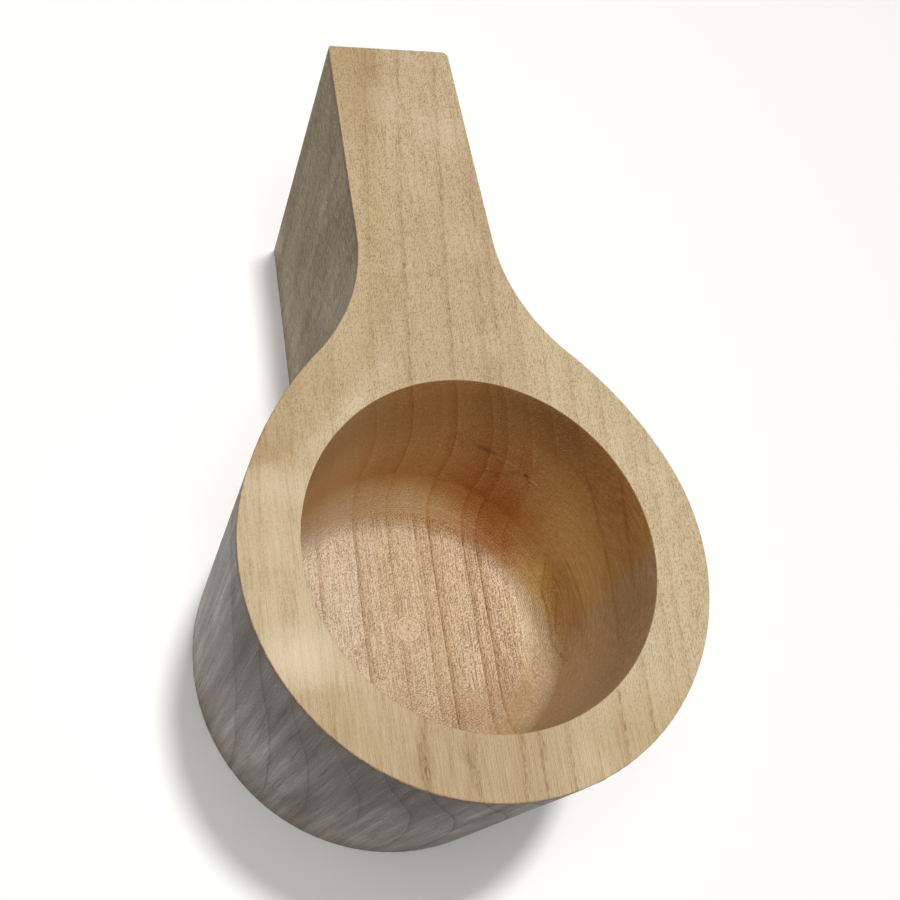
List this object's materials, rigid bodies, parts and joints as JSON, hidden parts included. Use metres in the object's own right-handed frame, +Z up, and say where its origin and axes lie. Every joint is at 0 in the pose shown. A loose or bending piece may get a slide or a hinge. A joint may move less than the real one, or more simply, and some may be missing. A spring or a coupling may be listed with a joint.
{
  "type": "kuksa carving blank",
  "caption": "Unfinished wooden kuksa blank: a round bored bowl and a straight full-height handle sawn from one block, with a small flush plug in the bowl floor.",
  "frame": {"origin": "on the axis of the bowl's bore, in the plane of the base", "axes": "+X from the bowl along the handle, +Z up out of the bowl's mouth, +Y to the left of the handle"},
  "size_m": [0.1664, 0.0926, 0.0722],
  "materials": {
    "raw_hardwood": "raw sawn and bored hardwood, unsealed",
    "plug_wood": "raw hardwood, cut flush"
  },
  "bodies": {
    "root": {"blank_body": "raw_hardwood", "floor_plug": "plug_wood"}
  },
  "joints": []
}
